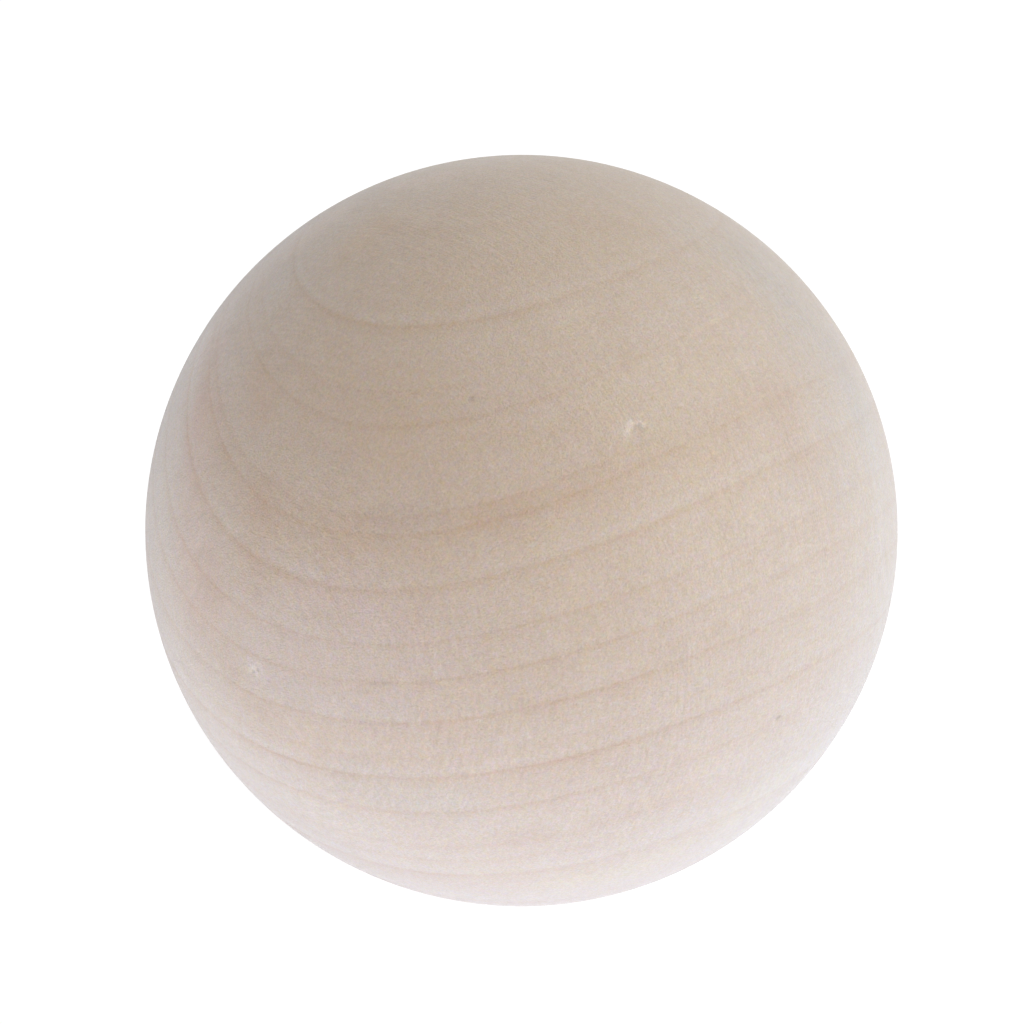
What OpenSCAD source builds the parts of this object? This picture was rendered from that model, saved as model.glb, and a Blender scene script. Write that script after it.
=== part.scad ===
/* [Ball] */
// Diameter across the turned and sanded ball
ball_d = 50; // [30:1:100]

/* [Knock] */
// Width across the rim of the small knock in the skin
knock_w = 1.2; // [0.6:0.1:2.4]
// Depth of the knock below the round surface
knock_depth = 0.15; // [0.1:0.05:0.4]
// Turn of the knock about the vertical axis, counted from +X
knock_turn = -68; // [-180:1:180]
// Angle of the knock above the equator
knock_rise = 42; // [-90:1:90]

/* [Hidden] */

upright = 90;
wood_color = [0.78, 0.71, 0.66];
ball_facets = 180;
knock_facets = 48;

ball_r = ball_d / 2;
knock_r = knock_w / 2;
// Height of the round surface above the flat circle inside the knock's rim
knock_crown = ball_r - sqrt(pow(ball_r, 2) - pow(knock_r, 2));
// Height of the cap that the knock takes below that circle, and the radius of its sphere
knock_cap = knock_depth - knock_crown;
knock_sphere_r = (pow(knock_r, 2) + pow(knock_cap, 2)) / (2 * knock_cap);

// Sphere on the ball's own axis that leaves a shallow hollow in its crown
module knock() {
    translate([0, 0, ball_r - knock_depth + knock_sphere_r])
        sphere(r = knock_sphere_r, $fn = knock_facets);
}

// One solid ball of wood, tipped so that the knock in its crown faces where it was hit
module ball() {
    color(wood_color)
        rotate([0, upright - knock_rise, knock_turn])
            difference() {
                sphere(d = ball_d, $fn = ball_facets);
                knock();
            }
}

ball();
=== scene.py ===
import math

import bmesh
import bpy
from mathutils import Euler, Matrix, Vector, noise
from mathutils.kdtree import KDTree


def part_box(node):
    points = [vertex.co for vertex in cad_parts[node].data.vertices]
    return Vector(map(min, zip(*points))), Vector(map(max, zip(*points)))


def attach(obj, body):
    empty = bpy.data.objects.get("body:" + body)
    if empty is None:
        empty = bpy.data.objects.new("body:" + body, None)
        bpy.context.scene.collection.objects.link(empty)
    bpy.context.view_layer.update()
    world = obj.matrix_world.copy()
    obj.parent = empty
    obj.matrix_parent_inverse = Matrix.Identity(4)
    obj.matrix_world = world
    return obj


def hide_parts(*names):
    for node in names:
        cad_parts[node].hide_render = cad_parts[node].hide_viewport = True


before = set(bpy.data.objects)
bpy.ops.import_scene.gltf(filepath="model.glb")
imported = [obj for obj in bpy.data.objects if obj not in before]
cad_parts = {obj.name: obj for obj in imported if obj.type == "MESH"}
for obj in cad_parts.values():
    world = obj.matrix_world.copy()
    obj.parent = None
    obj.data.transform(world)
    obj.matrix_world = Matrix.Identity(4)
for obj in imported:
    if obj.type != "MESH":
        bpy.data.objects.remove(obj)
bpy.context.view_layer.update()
mm = 0.001
percent = 100
tiny = 1e-9
quarterTurn = 90
white = (1, 1, 1, 1)


def onBall(turn, rise):
    # direction from the ball's centre: degrees of turn about +Z from +X and of rise above the equator
    return Euler((0, -math.radians(rise), math.radians(turn))).to_matrix() @ Vector((1, 0, 0))


def newObject(name, bm):
    mesh = bpy.data.meshes.new(name)
    bm.to_mesh(mesh)
    bm.free()
    thing = bpy.data.objects.new(name, mesh)
    bpy.context.scene.collection.objects.link(thing)
    return thing


def feed(tree, socket, value):
    if isinstance(value, bpy.types.NodeSocket):
        tree.links.new(value, socket)
    else:
        socket.default_value = value


def maths(tree, operation, *values, clamp=False):
    node = tree.nodes.new("ShaderNodeMath")
    node.operation = operation
    node.use_clamp = clamp
    for socket, value in zip(node.inputs, values):
        feed(tree, socket, value)
    return node.outputs[0]


def vectorMaths(tree, operation, *values):
    node = tree.nodes.new("ShaderNodeVectorMath")
    node.operation = operation
    for socket, value in zip(node.inputs, values):
        feed(tree, socket, value)
    return node.outputs["Value" if operation in ("LENGTH", "DISTANCE", "DOT_PRODUCT") else "Vector"]


def stretch(tree, vector, factor):
    node = tree.nodes.new("ShaderNodeVectorMath")
    node.operation = "SCALE"
    feed(tree, node.inputs["Vector"], vector)
    feed(tree, node.inputs["Scale"], factor)
    return node.outputs["Vector"]


def ramp(tree, value, low, high, toLow=0.0, toHigh=1.0, kind="SMOOTHSTEP"):
    node = tree.nodes.new("ShaderNodeMapRange")
    node.interpolation_type = kind
    for socket, entry in zip(node.inputs, (value, low, high, toLow, toHigh)):
        feed(tree, socket, entry)
    return node.outputs["Result"]


def cloud(tree, vector, grain):
    # a noise about zero, from a grain of scale per mm, detail, roughness and the amount it may add
    scale, detail, roughness, amount = grain
    node = tree.nodes.new("ShaderNodeTexNoise")
    feed(tree, node.inputs["Vector"], vector)
    node.inputs["Scale"].default_value = scale
    node.inputs["Detail"].default_value = detail
    node.inputs["Roughness"].default_value = roughness
    return ramp(tree, node.outputs["Fac"], 0.0, 1.0, -amount, amount, "LINEAR")


def colourCloud(tree, vector, grain, spread):
    # a noise about one, by up to its share of spread, its red, green and blue apart from one another
    scale, detail, roughness = grain
    node = tree.nodes.new("ShaderNodeTexNoise")
    feed(tree, node.inputs["Vector"], vector)
    node.inputs["Scale"].default_value = scale
    node.inputs["Detail"].default_value = detail
    node.inputs["Roughness"].default_value = roughness
    wide = vectorMaths(tree, "MULTIPLY", node.outputs["Color"], [2 * share for share in spread])
    return vectorMaths(tree, "ADD", wide, [1 - share for share in spread])


def blend(tree, factor, first, second):
    node = tree.nodes.new("ShaderNodeMix")
    node.data_type = "RGBA"
    feed(tree, node.inputs["Factor"], factor)
    feed(tree, node.inputs["A"], first)
    feed(tree, node.inputs["B"], second)
    return node.outputs["Result"]


def newGroup(name, inputs, output):
    tree = bpy.data.node_groups.new(name, "ShaderNodeTree")
    for title, kind in inputs.items():
        tree.interface.new_socket(title, in_out="INPUT", socket_type="NodeSocket" + kind)
    tree.interface.new_socket(output, in_out="OUTPUT", socket_type="NodeSocketFloat")
    return tree, tree.nodes.new("NodeGroupInput").outputs, tree.nodes.new("NodeGroupOutput").inputs


def place(tree, group, **values):
    node = tree.nodes.new("ShaderNodeGroup")
    node.node_tree = group
    for title, value in values.items():
        feed(tree, node.inputs[title], value)
    return node.outputs[0]


def ownAttribute(tree, name):
    node = tree.nodes.new("ShaderNodeAttribute")
    node.attribute_name = name
    return node.outputs["Fac"]


def split(tree, vector):
    node = tree.nodes.new("ShaderNodeSeparateXYZ")
    feed(tree, node.inputs[0], vector)
    return node.outputs


def join(tree, *values):
    node = tree.nodes.new("ShaderNodeCombineXYZ")
    for socket, value in zip(node.inputs, values):
        feed(tree, socket, value)
    return node.outputs[0]


wood = {
    "pithAway": 60.0,              # mm from the centre of the ball to the pith of the tree
    "turn": (-4.3, -3.7, -132.9),  # degrees: lays X along the fibres and Z towards the pith
    # how far the rings stray from true circles, in ball radii
    "lean": 0.057,
    "cup": -0.31,
    "curl": 0.80,
    "bow": -0.16,
    "crown": 0.49,
    "twist": -0.042,
    "innerWood": (0.606, 0.457, 0.328, 1),  # towards the pith, a warm tan
    "outerWood": (0.582, 0.498, 0.465, 1),  # towards the bark, cooler
    "innerLevel": -25.0,           # ring levels in mm where those hold
    "outerLevel": 20.0,
    # what the wood is multiplied by on its side and at the ends of its fibres, and mm where that holds;
    # partly painted light, a greener tint on one side of the ball and a pinker one on the other
    "sideAndLightTint": (0.980, 0.998, 1.004, 1),
    "endAndLightTint": (1.009, 0.991, 0.992, 1),
    "sideAt": -10.0,
    "endAt": 25.0,
    # share of its strength that a growth line has on the side and at the end, and mm where that holds
    "sideStrength": 0.5,
    "fadeFrom": -5.0,
    "fadeTo": 22.5,
    # share of a brown line's depth that red, green and blue lose
    "innerTint": (0.53, 1.0, 1.72, 1),
    "outerTint": (0.37, 1.0, 1.33, 1),
    "wearAndLightTint": (0.92, 1.0, 1.08),  # the same for dirt, pores, scratches, and the painted light and shade that the same attribute carries
    "blushAndLightTint": (-0.5, 1.0, -0.4),  # and for pinker wood, and for painted light that makes the left rim pinker and the bottom greener
    # what a pattern's coordinates are multiplied by: less than 1 draws it out
    "fibres": (0.6, 1.0, 1.0),
    "layers": (1.0, 0.04, 0.04),
    "turning": (1.0, 0.12, 0.12),
    # scale per mm, detail, roughness, amount
    "wander": (0.12, 2.0, 0.5, 0.14),
    "patches": (0.12, 2.0, 0.5, 0.9),
    "beads": (1.5, 1.0, 0.5, 0.5),
    "fineLines": (1.3, 3.0, 0.65, 0.04),
    "mottle": (0.4, 3.0, 0.55, 0.05),
    "fuzz": (4.0, 3.0, 0.7, 0.14),
    "pores": (8.0, 2.0, 0.7, 0.27),
    "colourGrain": (3.0, 3.0, 0.8),            # the first three, and then the amounts
    "colourSpread": (0.165, 0.165, 0.48),      # for red, green and blue
    "turningBands": (1.3, 1.0, 0.5, 0.03),
    "turningMarks": (6.5, 2.0, 0.6, 0.14),
    "turningPatches": (0.1, 1.0, 0.5, 1.4),
    "turningShare": 0.6,           # strength of the turning marks where no patch adds or takes any
    "roughness": 0.62,
    "sheen": 0.415,
    "sheenRoughness": 0.65,
    "sheenTint": (0.7, 0.85, 1.0, 1),
    "relief": 0.12,                # mm that the sanded fibres stand proud, for a tone of 1
}
# one growth line each: mm from the middle of the ball, away from the pith, mm wide,
# per cent darker, per cent that the wood before it is paler
growthLines = (
    (-23.9, 0.30, 4.0, 0.0),
    (-15.2, 0.10, 8.8, 2.0),
    (-11.75, 0.15, 10.2, 0.0),
    (-9.55, 0.15, 9.2, 5.0),
    (-6.84, 0.16, 8.8, 1.6),
    (-4.47, 0.18, 8.4, 0.8),
    (-1.4, 0.25, 10.4, 0.8),
    (1.68, 0.24, 2.8, 1.2),
    (3.67, 0.28, 13.4, 3.7),
    (7.37, 0.28, 8.4, 1.8),
    (11.33, 0.60, 6.0, 0.0),
    (15.15, 0.35, 12.4, 1.1),
    (18.8, 0.28, 7.4, 2.4),
    (21.7, 0.28, 8.6, 2.4),
    (24.2, 0.35, 6.0, 0.0),
)
# lines that fade out, with mm along the fibres where one starts and where it is full
shortLines = (
    (-18.8, 0.15, 14.5, 5.5, 60.0, -15.0),
    (-16.35, 0.10, 4.8, 1.2, 11.0, 16.0),
    (-12.4, 0.14, 6.0, 0.0, 8.0, 13.0),
    (13.2, 0.35, 7.5, 2.0, 8.0, 14.0),
)
# broad bands: mm where one starts and ends, per cent darker
growthBands = (
    (-23.4, -21.9, 1.5),
    (-18.5, -16.1, -2.5),
    (-12.7, -10.8, 3.5),
    (-8.7, -4.9, -2.5),
    (-1.1, 0.1, 1.2),
    (8.4, 10.0, -2.0),
    (12.8, 14.8, -3.0),
)
lineShape = {
    # in widths of the line, from where it is darkest
    "onset": -1.0,
    "core": 1.3,
    "tail": 4.5,
    "coreShare": 0.58,
    "tailShare": 0.42,
    "paleFrom": -5.5,
    "paleAt": -2.4,
    "paleTo": -0.7,
    "bandEdge": 0.5,   # mm on either side of a broad band's start and end, where it comes and goes
}


def ringLevelGroup(radius):
    # which growth ring a point in mm lies in: mm from the middle of the ball, away from the pith
    tree, given, result = newGroup("ringLevel", {"Point": "Vector"}, "Level")
    x, y, z = split(tree, stretch(tree, given["Point"], 1 / radius))
    away = wood["pithAway"] / radius
    zz = maths(tree, "MULTIPLY", z, z)
    drop = maths(tree, "SUBTRACT", away, z)
    circle = maths(tree, "SQRT", maths(tree, "MULTIPLY_ADD", drop, drop, maths(tree, "MULTIPLY", y, y)))
    lean = maths(tree, "MULTIPLY_ADD", zz, wood["curl"], wood["cup"])
    lean = maths(tree, "MULTIPLY_ADD", lean, z, wood["lean"])
    arch = maths(tree, "MULTIPLY", x, maths(tree, "MULTIPLY_ADD", zz, wood["crown"], wood["bow"]))
    arch = maths(tree, "MULTIPLY_ADD", zz, wood["twist"], arch)
    level = maths(tree, "MULTIPLY_ADD", y, lean, maths(tree, "SUBTRACT", circle, away))
    level = maths(tree, "MULTIPLY_ADD", x, arch, level)
    feed(tree, result["Level"], maths(tree, "MULTIPLY", level, radius))
    return tree


def growthLineGroup():
    # pale wood, then a line that darkens at once and fades slowly
    sockets = dict.fromkeys(("Level", "Spot", "Width", "Depth", "Pale", "Before"), "Float")
    tree, given, result = newGroup("growthLine", sockets, "Sum")
    past = maths(tree, "DIVIDE", maths(tree, "SUBTRACT", given["Level"], given["Spot"]), given["Width"])
    rise = ramp(tree, past, lineShape["onset"], 0.0)
    core = ramp(tree, past, 0.0, lineShape["core"], lineShape["coreShare"], 0.0)
    tail = ramp(tree, past, 0.0, lineShape["tail"], lineShape["tailShare"], 0.0)
    dark = maths(tree, "MULTIPLY", rise, maths(tree, "ADD", core, tail))
    paleRise = ramp(tree, past, lineShape["paleFrom"], lineShape["paleAt"])
    paleFall = ramp(tree, past, lineShape["paleAt"], lineShape["paleTo"], 1.0, 0.0)
    pale = maths(tree, "MULTIPLY", given["Pale"], maths(tree, "MULTIPLY", paleRise, paleFall))
    total = maths(tree, "MULTIPLY_ADD", dark, given["Depth"], given["Before"])
    feed(tree, result["Sum"], maths(tree, "SUBTRACT", total, pale))
    return tree


def growthBandGroup():
    sockets = dict.fromkeys(("Level", "From", "To", "Depth", "Before"), "Float")
    tree, given, result = newGroup("growthBand", sockets, "Sum")
    edge = lineShape["bandEdge"]
    rise = ramp(tree, maths(tree, "SUBTRACT", given["Level"], given["From"]), -edge, edge)
    fall = ramp(tree, maths(tree, "SUBTRACT", given["Level"], given["To"]), -edge, edge, 1.0, 0.0)
    shade = maths(tree, "MULTIPLY", rise, fall)
    feed(tree, result["Sum"], maths(tree, "MULTIPLY_ADD", shade, given["Depth"], given["Before"]))
    return tree


def sandedWood(radius):
    material = bpy.data.materials.new("sandedWood")
    material.use_nodes = True
    tree = material.node_tree
    shader = tree.nodes["Principled BSDF"]
    here = tree.nodes.new("ShaderNodeTexCoord").outputs["Object"]
    block = tree.nodes.new("ShaderNodeMapping")  # the tree's own frame, in mm
    block.vector_type = "TEXTURE"
    block.inputs["Rotation"].default_value = [math.radians(a) for a in wood["turn"]]
    block.inputs["Scale"].default_value = (mm, mm, mm)
    feed(tree, block.inputs["Vector"], here)
    point = block.outputs[0]
    fibres = vectorMaths(tree, "MULTIPLY", point, wood["fibres"])

    level = place(tree, ringLevelGroup(radius), Point=point)
    level = maths(tree, "ADD", level, cloud(tree, point, wood["wander"]))
    line = growthLineGroup()
    lines = 0.0
    for spot, width, depth, pale in growthLines:
        lines = place(tree, line, Level=level, Spot=spot, Width=width, Depth=depth / percent,
                      Pale=pale / percent, Before=lines)
    along, side, height = split(tree, point)
    for spot, width, depth, pale, start, full in shortLines:
        lines = place(tree, line, Level=level, Spot=spot, Width=width, Pale=pale / percent, Before=lines,
                      Depth=ramp(tree, along, start, full, 0.0, depth / percent))
    band = growthBandGroup()
    for start, end, depth in growthBands:
        lines = place(tree, band, Level=level, From=start, To=end, Depth=depth / percent, Before=lines)
    strength = maths(tree, "ADD", cloud(tree, fibres, wood["patches"]), cloud(tree, fibres, wood["beads"]))
    fade = ramp(tree, along, wood["fadeFrom"], wood["fadeTo"], wood["sideStrength"], 1.0)
    brown = maths(tree, "MULTIPLY", maths(tree, "MULTIPLY", lines, fade), maths(tree, "ADD", strength, 1.0))
    layers = vectorMaths(tree, "MULTIPLY", join(tree, level, along, side), wood["layers"])
    brown = maths(tree, "ADD", brown, cloud(tree, layers, wood["fineLines"]))
    for grain in ("mottle", "fuzz"):
        brown = maths(tree, "ADD", brown, cloud(tree, fibres, wood[grain]))
    # the stain attribute holds real stains and also a painted light hue: a warmer left rim and bottom, a
    # cooler right side and cooler knock highlights
    brown = maths(tree, "ADD", brown, ownAttribute(tree, "stainAndLightHue"))

    circles = vectorMaths(tree, "MULTIPLY", point, wood["turning"])
    patch = maths(tree, "ADD", cloud(tree, point, wood["turningPatches"]), wood["turningShare"], clamp=True)
    turned = maths(tree, "MULTIPLY", cloud(tree, circles, wood["turningMarks"]), patch)
    turned = maths(tree, "ADD", turned, cloud(tree, circles, wood["turningBands"]))
    rough = maths(tree, "ADD", turned, cloud(tree, point, wood["pores"]))
    # the wear attribute holds real wear and also painted light and shade: paler rims, a darker right side,
    # and highlights and shade at the knock
    wornAndPaintedLight = maths(tree, "ADD", rough, ownAttribute(tree, "wearAndPaintedLight"))

    age = ramp(tree, level, wood["innerLevel"], wood["outerLevel"], kind="LINEAR")
    colour = blend(tree, age, wood["innerWood"], wood["outerWood"])
    # partly painted light: this tint also stands in for greener light on one side and pinker light on the
    # other
    ends = ramp(tree, along, wood["sideAt"], wood["endAt"], kind="LINEAR")
    colour = vectorMaths(tree, "MULTIPLY", colour, blend(tree, ends, wood["sideAndLightTint"], wood["endAndLightTint"]))
    lineTint = blend(tree, age, wood["innerTint"], wood["outerTint"])
    # this attribute holds pinker wood and also painted light: a pinker left rim and a greener bottom
    blushAndLightHue = ownAttribute(tree, "blushAndLightHue")
    for shade, tint in ((brown, lineTint), (wornAndPaintedLight, wood["wearAndLightTint"]), (blushAndLightHue, wood["blushAndLightTint"])):
        left = vectorMaths(tree, "SUBTRACT", (1, 1, 1), stretch(tree, tint, shade))
        colour = vectorMaths(tree, "MULTIPLY", colour, left)
    colours = colourCloud(tree, point, wood["colourGrain"], wood["colourSpread"])
    colour = vectorMaths(tree, "MULTIPLY", colour, colours)
    feed(tree, shader.inputs["Base Color"], colour)
    feed(tree, shader.inputs["Roughness"], maths(tree, "ADD", wornAndPaintedLight, wood["roughness"]))
    bump = tree.nodes.new("ShaderNodeBump")
    bump.inputs["Distance"].default_value = wood["relief"] * mm
    feed(tree, bump.inputs["Height"], maths(tree, "SUBTRACT", 0.0, rough))  # dark pores are low
    feed(tree, shader.inputs["Normal"], bump.outputs[0])
    shader.inputs["Sheen Weight"].default_value = wood["sheen"]
    shader.inputs["Sheen Roughness"].default_value = wood["sheenRoughness"]
    shader.inputs["Sheen Tint"].default_value = wood["sheenTint"]
    return material


turnedBall = {
    "halvings": 7,        # times that every face of an octahedron is split in four
    "mapMargin": 0.002,
    "front": 30,          # rise of the middle of the map, in degrees
    "fineHalvings": 2,    # more times, round the marks
    "edge": 0.31,         # mm between points before that
    "fineShare": 0.7,     # a mark's half width times this is the most between its points
    "markCore": 0.25,     # share of a mark's half width that has its full depth
    "shadeSpread": 1.25,  # uneven colour and painted light reach this many times as far, and have no such core
    "oval": 0.0015,       # share that it is longer along the fibres, and shorter across them
    "flats": (0.16, 0.01),  # waves per mm and mm of height that sanding left
    "centreRing": (1.5, 0.5, 0.01),  # mm: reach, spacing and height of the rings round a centre mark
}
# marks: turn and rise of both ends, half width in mm, per cent darker, mm proud of the ball
knock = {
    "dent": (-68.5, 42.4, -68.5, 42.4, 0.80, 0, -0.07),
    # the next three stand a little proud, and their paleness is partly a painted highlight on the dent's
    # lit edge
    "tornFibreAndHighlight": (-69.3, 43.4, -70.6, 41.9, 0.26, -7, 0.02),
    "chipTopHighlight": (-67.9, 43.2, -67.3, 43.2, 0.18, -6, 0.01),
    "chipSideHighlight": (-66.8, 42.8, -66.7, 42.8, 0.24, -9, 0.02),
    # painted shade: the middle of the dent made darker
    "core": (-68.0, 42.9, -67.9, 42.8, 0.17, 10, -0.03),
    "crack": (-68.6, 42.6, -69.0, 42.3, 0.15, 5, -0.02),
    "hollow": (-68.5, 42.2, -68.2, 42.2, 0.30, -1, -0.01),
    "scuff": (-70.8, 41.0, -70.6, 39.9, 0.30, -3, 0),
}
centreMark = {
    "paleField": (-131.0, 2.6, -130.9, 2.7, 0.60, -2, 0.01),
    "paleLeft": (-131.9, 1.9, -131.2, 2.5, 0.22, -8, 0.01),
    "paleLow": (-130.3, 2.0, -130.7, 1.9, 0.22, -7, 0.01),
    "paleMiddle": (-131.0, 3.0, -130.9, 3.1, 0.20, -6, 0.01),
    "paleHigh": (-130.2, 3.9, -130.2, 3.7, 0.22, -5, 0.01),
    "pit": (-131.2, 2.0, -131.0, 2.1, 0.15, 21, -0.05),
    "nick": (-130.2, 2.8, -130.1, 2.7, 0.14, 15, -0.04),
    "nickHigh": (-131.3, 3.3, -131.3, 3.3, 0.13, 8, -0.02),
    "nickSide": (-131.9, 2.7, -131.8, 2.7, 0.13, 8, -0.02),
}
specks = {
    "above": (-100.0, 47.9, -100.0, 47.8, 0.24, 22, -0.02),
    "low": (-50.5, -5.4, -50.0, -5.3, 0.20, 30, -0.01),
    "top": (-64.9, 85.8, -60.0, 85.9, 0.26, 8, 0),
    "topLeft": (-138.5, 86.7, -138.5, 86.6, 0.22, 6, 0),
    "upperRight": (-59.8, 62.4, -59.8, 62.3, 0.28, 9, 0),
    "upperLeft": (-111.1, 65.7, -111.1, 65.5, 0.26, 5, 0),
    "lower": (-83.1, -7.5, -83.1, -7.6, 0.28, 6, 0),
    "left": (-141.8, 37.4, -141.8, 37.2, 0.22, 6, 0),
    "middleRight": (-80.1, 13.1, -80.1, 13.0, 0.16, 8, 0),
    "middleLow": (-78.9, 7.0, -78.6, 7.0, 0.20, 6, 0),
    "right": (-39.2, 38.8, -39.2, 38.7, 0.22, 5, 0),
    "flecks": (-111.0, 6.4, -108.4, 7.1, 0.24, 12, 0),
    "fleckBelow": (-113.0, 4.8, -111.9, 4.9, 0.22, 7, 0),
}
scratches = {
    "besideLineA": (-47.4, 53.2, -33.0, 53.1, 0.20, -8, 0),
    "besideLineB": (-35.6, 57.2, -34.2, 56.9, 0.26, -6, 0),
    "leftA": (-125.8, -2.9, -119.6, -8.2, 0.13, -5, 0),
    "leftB": (-126.8, -4.8, -120.5, -9.7, 0.12, -4, 0),
    "leftC": (-124.5, -2.0, -120.9, -4.5, 0.12, -5, 0),
    "leftD": (-125.2, -3.9, -121.0, -7.6, 0.10, -4, 0),
    "rightA": (-53.1, 37.7, -52.5, 34.5, 0.12, -5, 0),
    "rightB": (-50.5, 38.4, -50.4, 35.4, 0.12, -4, 0),
    "rightC": (-44.1, 39.1, -43.5, 35.1, 0.12, -3, 0),
    "lowA": (-90.2, -9.3, -96.3, -20.5, 0.12, -3, 0),
    "lowB": (-91.9, -10.9, -99.3, -23.6, 0.12, -3, 0),
    "lowC": (-88.4, -10.1, -93.2, -21.0, 0.12, -3, 0),
    "lowD": (-103.2, -12.1, -107.1, -20.2, 0.12, -3, 0),
}
stains = {
    "knotShade": (-169.0, 69.0, -153.6, 70.4, 1.1, 2.5, 0),
    "topShade": (-157.0, 61.5, -150.1, 64.9, 1.5, 3, 0),
    "topRight": (-38.6, 75.6, -22.4, 69.0, 1.7, 3, 0),
    "redRing": (-97.0, 31.6, -80.0, 34.4, 1.0, 4.5, 0),
    "lowLeftBand": (-132.0, -4.0, -120.0, -7.6, 1.4, 5, 0),
    "lowLeftEdge": (-139.5, 1.4, -135.0, -0.2, 1.0, 4, 0),
    "bottomLeft": (-117.0, -10.6, -111.9, -11.2, 0.7, 4, 0),
    "wideRing": (-78.0, 6.4, -68.5, 7.7, 0.7, 3, 0),
}
# uneven colour, partly the wood's own and partly painted light and shade: turn and rise of both ends, half
# width in mm, per cent browner, darker, pinker
shades = {
    # painted light: leftRim to highLeftEdge make the left rim paler, and most of them browner and pinker
    "leftRim": (-157, 31, -145, 7, 3.4, 7, -5, 2),
    "farLeft": (-141, -24, -173, 33, 5.0, -1, -7, 0),
    "lowLeftRim": (-118, -26, -140, -8, 3.0, -1, -2.5, 0),
    "highLeftRim": (-178, 35, 165, 58, 3.0, 3, -7, 1),
    "highLeftEdge": (178, 55, 166, 61, 1.5, 3, -5, 0.5),
    "leftHigh": (-162, 43, -178, 49, 1.5, 5, -4, 0.5),
    # painted light: leftEdge makes the left rim paler, browner and pinker
    "leftEdge": (-174, 38, -166, 22, 1.5, 5, -1.5, 1),
    "leftSpotHigh": (-149, 41, -144, 38, 2.0, 10, -2.5, 1),
    "leftSpotTop": (-169, 39, -159, 28, 1.7, 9.5, -2, 2.5),
    "leftSpotMiddle": (-135, 27, -133, 17, 2.0, 5, 0.5, 1),
    "leftSpotLow": (-142, 15, -140, 10, 2.2, 5, 0.5, 1.5),
    "leftBrown": (-133, 12, -132, 12, 1.3, 3.5, -1, 0.5),
    "endGrain": (-127, 8, -106, 12, 4.5, -6, 3, 1.5),
    "endGrainPale": (-124, 18, -110, 18, 1.6, -6, 1, 2),
    "endGrainPink": (-106, 16, -104, 14, 1.4, 5, -1, 0.5),
    "endGrainBlue": (-129, 1, -107, 2, 2.2, -9, 6, 1),
    "endGrainHigh": (-116, 23, -113, 23, 1.4, -4.5, 2, 1.5),
    "endGrainMiddle": (-122, 12, -119, 12, 1.4, -4, 1, 0.5),
    "lowLeft": (-131, -20, -109, -23, 2.6, -3, -1, 0),
    "lowLeftBlue": (-115, -11, -100, -12, 2.7, -7, 6.5, 0),
    "lowLeftPale": (-129, -13, -126, -14, 1.6, -3.5, 0.5, 0.5),
    # painted light and shade: rightEdge makes the edge of the right rim paler, and the rows from upperRight
    # to rightRim make the right side darker and bluer
    "rightEdge": (-4, 41, 3, 53, 1.4, 1, -3.5, 0),
    "upperRight": (-1, 52, -13, 28, 4.2, -11, 11, 0),
    "rightSide": (-14, 30, -26, 6, 3.0, -2, 2, 0),
    "rightBlue": (-21, 44, -29, 24, 2.6, -4, 6, 0),
    "rightRim": (-13, 24, -23, 8, 1.5, -4, 0.5, 0),
    "rightHigh": (-36, 39, -38, 34, 2.5, 3.5, 3, 0.5),
    "rightLow": (-37, 28, -37, 22, 2.5, 4, 2, 0),
    "rightLower": (-37, 16, -38, 8, 1.8, 0.5, 3, 0.5),
    "rightPale": (-64, 26, -58, 18, 2.4, -2, -1.5, 0),
    "upperLeft": (-153, 48, -116, 44, 4.5, 6, -2, 0),
    "topLeft": (-166, 68, -163, 64, 2.0, 11, -9, 0),
    "top": (-173, 77, 10, 75, 2.4, -2, 2, 0),
    "topPink": (156, 70, 146, 76, 1.5, 2, -5, 2),
    "topMiddle": (-91, 75, -43, 67, 2.2, 1, -1.5, -0.5),
    "topRight": (-8, 65, -12, 48, 2.4, -4, 3, -0.5),
    "highRight": (-72, 47, -46, 47, 2.6, 2, -4, -1),
    "highPale": (-73, 57, -88, 67, 1.6, 0, -3, -0.5),
    "highBrown": (-118, 55, -113, 56, 1.4, 4, -0.5, -0.5),
    "highLeftPale": (-117, 65, -112, 66, 1.5, 0, -2.5, 0),
    "byKnock": (-68, 41, -59, 39, 2.2, 0, -2, -1),
    "belowKnock": (-65, 35, -63, 35, 1.4, -1.5, -1.5, 0),
    "middle": (-84, 26, -56, 31, 4.5, 1, -2.5, -0.5),
    "middleBrown": (-102, 42, -94, 44, 1.4, 5.5, -1, -0.5),
    "middleSpot": (-90, 25, -88, 24, 1.4, 1, 2, 0),
    "middleSpotLow": (-97, 16, -95, 16, 1.4, 2, 1, 0),
    "middleDark": (-112, 29, -103, 31, 1.3, -4.5, 6.5, 1),
    "middleRed": (-93, 30, -89, 32, 1.1, 2, 3, 1),
    "middleLow": (-82, 16, -78, 16, 1.6, 6.5, -1.5, -1),
    "middleTan": (-90, 17, -86, 5, 1.6, 2.5, 0.5, 0),
    "ringSpot": (-90, 6, -90, 6, 1.2, 5, 3.5, 0),
    "lowMiddle": (-87, -7, -70, -2, 2.6, 2, 0.5, 0),
    "lowRight": (-64, -10, -46, -2, 3.0, 3.5, -3, 0),
    "lowRed": (-80, -14, -66, -13, 1.4, 5.5, -2, 0),
    "lowDark": (-92, -18, -88, -18, 1.5, 2, 2, 0),
    # painted light: bottom and bottomRight make the lower rim paler, browner and greener
    "bottom": (-97, -29, -69, -33, 2.6, 3, -3, -1),
    "bottomRight": (-83, -34, -45, -20, 2.2, 4, -4, -2),
    # painted highlight: knockPale and knockSide make the pale marks of the dent whiter and cooler
    "knockPale": (-69.3, 43.4, -70.6, 41.9, 0.30, -8, -2, 0),
    "knockSide": (-66.8, 42.8, -67.6, 43.2, 0.24, -9, -1, 0),
    "centrePale": (-131.0, 2.6, -130.9, 2.7, 0.95, -9, -1, 0),
}


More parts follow.
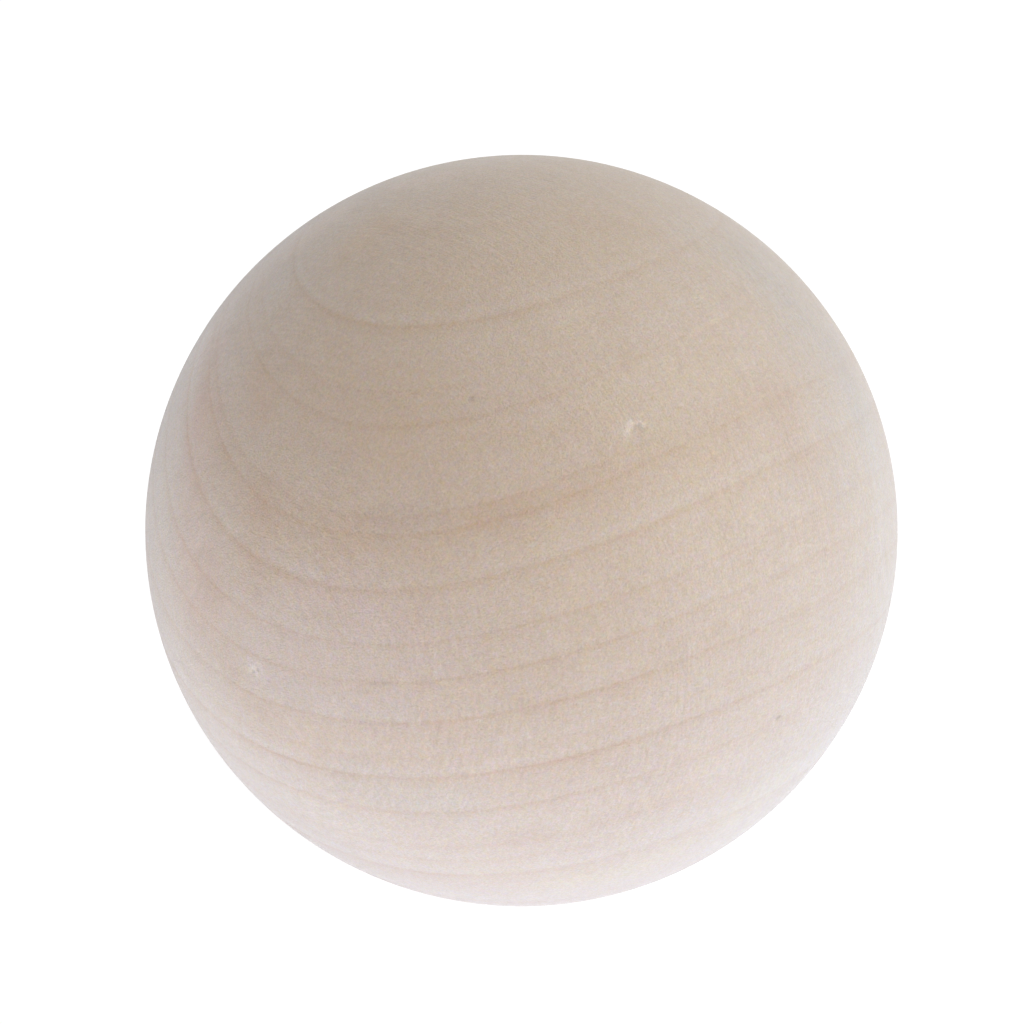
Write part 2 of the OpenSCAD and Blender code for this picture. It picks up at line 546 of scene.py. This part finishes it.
def unfold(bm):
    # flattens the eight faces of the octahedron to a square, the face of the ball in its middle
    flat = bm.loops.layers.uv.new("OFBake")
    middle = 0.5
    half = middle - turnedBall["mapMargin"]
    for face in bm.faces:
        centre = face.calc_center_median()
        for corner in face.loops:
            spot = corner.vert.co.normalized()
            if round(spot.z) == -1:  # the far pole lies at all four corners of the square
                spot = Vector((math.copysign(1, centre.x), math.copysign(1, centre.y), 0))
            corner[flat].uv = (middle + half * spot.x, middle + half * spot.y)


def smoothShare(value):
    share = min(1, max(0, value))
    return share * share * (3 - 2 * share)


def makeFinder(items, places):
    finder = KDTree(len(items))
    for number, place in enumerate(places):
        finder.insert(place, number)
    finder.balance()
    return finder


def nearMark(finder, mark, size, margin=0.0):
    # numbers of the points near a mark, and how far each lies from its middle line, in mm
    turn, rise, endTurn, endRise, width = mark[:5]
    start, end = onBall(turn, rise) * size, onBall(endTurn, endRise) * size
    span = end - start
    reach = (width + margin) * mm
    for spot, number, far in finder.find_range((start + end) / 2, span.length / 2 + reach):
        share = min(1, max(0, (spot - start).dot(span) / max(span.length_squared, tiny * tiny)))
        nearest = (start + span * share).normalized() * size
        away = (spot - nearest).length
        if away < reach:
            yield number, away / mm


def refine(bm, size, marks, areas):
    edge = turnedBall["edge"]
    for step in range(turnedBall["fineHalvings"]):
        bm.faces.ensure_lookup_table()
        finder = makeFinder(bm.faces, [face.calc_center_median() for face in bm.faces])
        fine = areas + [(*ends, width) for *ends, width, darker, proud in marks
                        if edge > turnedBall["fineShare"] * width]
        near = {number for mark in fine for number, away in nearMark(finder, mark, size, edge)}
        sides = list({side for number in near for side in bm.faces[number].edges})
        bmesh.ops.subdivide_edges(bm, edges=sides, cuts=1, use_grid_fill=True, use_single_edge=True)
        bmesh.ops.triangulate(bm, faces=bm.faces[:])
        edge /= 2
    for vert in bm.verts:
        vert.co = vert.co.normalized() * size


def shapeBall(bm, size, marks, centres):
    # drying and sanding, then the lathe's centres, and each mark's height and tone
    axis = Euler([math.radians(a) for a in wood["turn"]]).to_matrix() @ Vector((1, 0, 0))
    waves, lift = turnedBall["flats"]
    radius = size / mm
    bm.verts.ensure_lookup_table()
    finder = makeFinder(bm.verts, [vert.co for vert in bm.verts])
    tones = {name: bm.verts.layers.float.new(name) for name in ("stainAndLightHue", "wearAndPaintedLight", "blushAndLightHue")}
    heights = [lift * noise.noise(vert.co / mm * waves) for vert in bm.verts]
    for number, vert in enumerate(bm.verts):
        heights[number] += turnedBall["oval"] * radius * (2 * vert.co.normalized().dot(axis) ** 2 - 1)
    reach, spacing, lift = turnedBall["centreRing"]
    for centre in centres:
        for number, away in nearMark(finder, centre, size):
            heights[number] += lift * math.cos(math.tau * away / spacing) * (1 - away / reach)
    for tone, core, group in marks:
        for *ends, width, darker, proud in group:
            soft = width * (1 - core)
            for number, away in nearMark(finder, (*ends, width), size):
                share = smoothShare((width - away) / soft)
                bm.verts[number][tones[tone]] += share * darker / percent
                heights[number] += share * proud
    for vert, height in zip(bm.verts, heights):
        vert.co += vert.co.normalized() * height * mm


def makeBall():
    low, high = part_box("ball")
    size = (high.x - low.x) / 2
    radius = size / mm
    bm = bmesh.new()
    bmesh.ops.create_uvsphere(bm, u_segments=4, v_segments=2, radius=size)
    unfold(bm)
    for step in range(turnedBall["halvings"]):
        bmesh.ops.subdivide_edges(bm, edges=bm.edges[:], cuts=1, use_grid_fill=True)
        for vert in bm.verts:
            vert.co = vert.co.normalized() * size
    toFront = Matrix.Rotation(math.radians(quarterTurn - turnedBall["front"]), 3, "X")
    bmesh.ops.rotate(bm, verts=bm.verts[:], cent=(0, 0, 0), matrix=toFront)
    print("ball: first mesh,", len(bm.faces), "faces")
    turn, rise = centreMark["pit"][:2]
    reach = turnedBall["centreRing"][0]
    centres = [(*end, *end, reach) for end in ((turn, rise), (turn + 2 * quarterTurn, -rise))]
    core, spread = turnedBall["markCore"], turnedBall["shadeSpread"]
    marks = [("stainAndLightHue", core, stains.values())]
    patches = {"stainAndLightHue": [], "wearAndPaintedLight": [], "blushAndLightHue": []}
    for *ends, width, browner, darker, pinker in shades.values():
        for tone, amount in (("stainAndLightHue", browner), ("wearAndPaintedLight", darker), ("blushAndLightHue", pinker)):
            patches[tone].append((*ends, width * spread, amount, 0))
    marks += [(tone, 0, group) for tone, group in patches.items()]
    marks += [("wearAndPaintedLight", core, group.values()) for group in (specks, scratches, knock, centreMark)]
    allMarks = [mark for tone, core, group in marks for mark in group]
    refine(bm, size, allMarks, centres + [knock["dent"]])
    shapeBall(bm, size, marks, centres)
    for face in bm.faces:
        face.smooth = True
    ball = newObject("turnedBall", bm)
    ball.data.materials.append(sandedWood(radius))
    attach(ball, "root")
    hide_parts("ball")
    print("ball: shaped,", len(ball.data.polygons), "faces")
    return size


studio = {
    "floorHalf": 3.0,      # metres from its middle to its sides
    "floorTone": 0.88,     # share of the light that it sends back
    "floorGlow": 0.996,    # light that the pale table sends up at the ball
    "floorWhite": 0.93,    # how white the floor looks in full shadow
    "shadowTone": 0.17,    # how much of the light on the floor shows on top of that
    "skyGlow": 0.353,      # light from all round
    "lampSize": 0.35,      # metres across
    "lampReach": 0.7,      # metres from the middle of the ball
    # watts, turn from the camera's side, rise
    "lamps": ((1.44, 90, 35), (1.27, 120, 65), (0.54, 0, 8), (0.31, -180, 8)),
}
view = {
    "rise": 30,                # degrees above the table
    "reach": 0.2,              # metres from the middle of the ball
    "nearest": 0.01,           # metres, closer than which nothing is drawn
    "lens": 105,               # mm
    "sensor": 36,              # mm
    "frame": 1024,             # pixels along each side
    "ballAt": (521.4, 530.2),  # pixels from the left and the top
}


def seenDirectly(tree):
    # 1 for what the camera, a gloss or a glass shows of the surroundings
    path = tree.nodes.new("ShaderNodeLightPath").outputs
    seen = maths(tree, "MAXIMUM", path["Is Camera Ray"], path["Is Glossy Ray"])
    return maths(tree, "MAXIMUM", seen, path["Is Transmission Ray"])


def litFloor(tree, tone, glow):
    matt = tree.nodes.new("ShaderNodeBsdfDiffuse")
    matt.inputs["Color"].default_value = (tone, tone, tone, 1)
    light = tree.nodes.new("ShaderNodeEmission")
    light.inputs["Strength"].default_value = glow
    both = tree.nodes.new("ShaderNodeAddShader")
    feed(tree, both.inputs[0], matt.outputs[0])
    feed(tree, both.inputs[1], light.outputs[0])
    return both.outputs[0]


def makeFloor(size):
    bm = bmesh.new()
    bmesh.ops.create_grid(bm, x_segments=1, y_segments=1, size=studio["floorHalf"])
    bmesh.ops.translate(bm, verts=bm.verts[:], vec=(0, 0, -size))
    floor = newObject("floor", bm)
    material = bpy.data.materials.new("paleTable")
    material.use_nodes = True
    tree = material.node_tree
    tree.nodes.clear()
    either = tree.nodes.new("ShaderNodeMixShader")
    feed(tree, either.inputs[0], seenDirectly(tree))
    feed(tree, either.inputs[1], litFloor(tree, studio["floorTone"], studio["floorGlow"]))
    feed(tree, either.inputs[2], litFloor(tree, studio["shadowTone"], studio["floorWhite"]))
    output = tree.nodes.new("ShaderNodeOutputMaterial")
    feed(tree, output.inputs["Surface"], either.outputs[0])
    floor.data.materials.append(material)
    print("floor: done")


def makeLight():
    world = bpy.data.worlds.new("studio")
    bpy.context.scene.world = world
    world.use_nodes = True
    tree = world.node_tree
    sky = tree.nodes["Background"]
    feed(tree, sky.inputs["Strength"],
         ramp(tree, seenDirectly(tree), 0.0, 1.0, studio["skyGlow"], 1.0, kind="LINEAR"))
    sky.inputs["Color"].default_value = white
    for number, (watts, turn, rise) in enumerate(studio["lamps"]):
        light = bpy.data.lights.new("softLamp%d" % number, "AREA")
        light.shape = "DISK"
        light.size = studio["lampSize"]
        light.energy = watts
        lamp = bpy.data.objects.new(light.name, light)
        lamp.location = onBall(turn - quarterTurn, rise) * studio["lampReach"]
        lamp.rotation_euler = (-lamp.location).to_track_quat("-Z", "Y").to_euler()
        bpy.context.scene.collection.objects.link(lamp)
    print("light: done")


def makeCamera():
    lens = bpy.data.cameras.new("camera")
    lens.lens = view["lens"]
    lens.sensor_width = view["sensor"]
    lens.clip_start = view["nearest"]
    camera = bpy.data.objects.new("camera", lens)
    toBall = Euler((math.radians(quarterTurn - view["rise"]), 0, 0)).to_matrix()
    perPixel = view["sensor"] / view["lens"] / view["frame"]
    right, down = [math.atan((at - view["frame"] / 2) * perPixel) for at in view["ballAt"]]
    camera.rotation_euler = (toBall @ Euler((down, right, 0)).to_matrix()).to_euler()
    camera.location = toBall @ Vector((0, 0, view["reach"]))
    bpy.context.scene.collection.objects.link(camera)
    bpy.context.scene.camera = camera
    print("camera: done")


ballSize = makeBall()
makeFloor(ballSize)
makeLight()
makeCamera()
bpy.context.scene.view_settings.view_transform = "Standard"
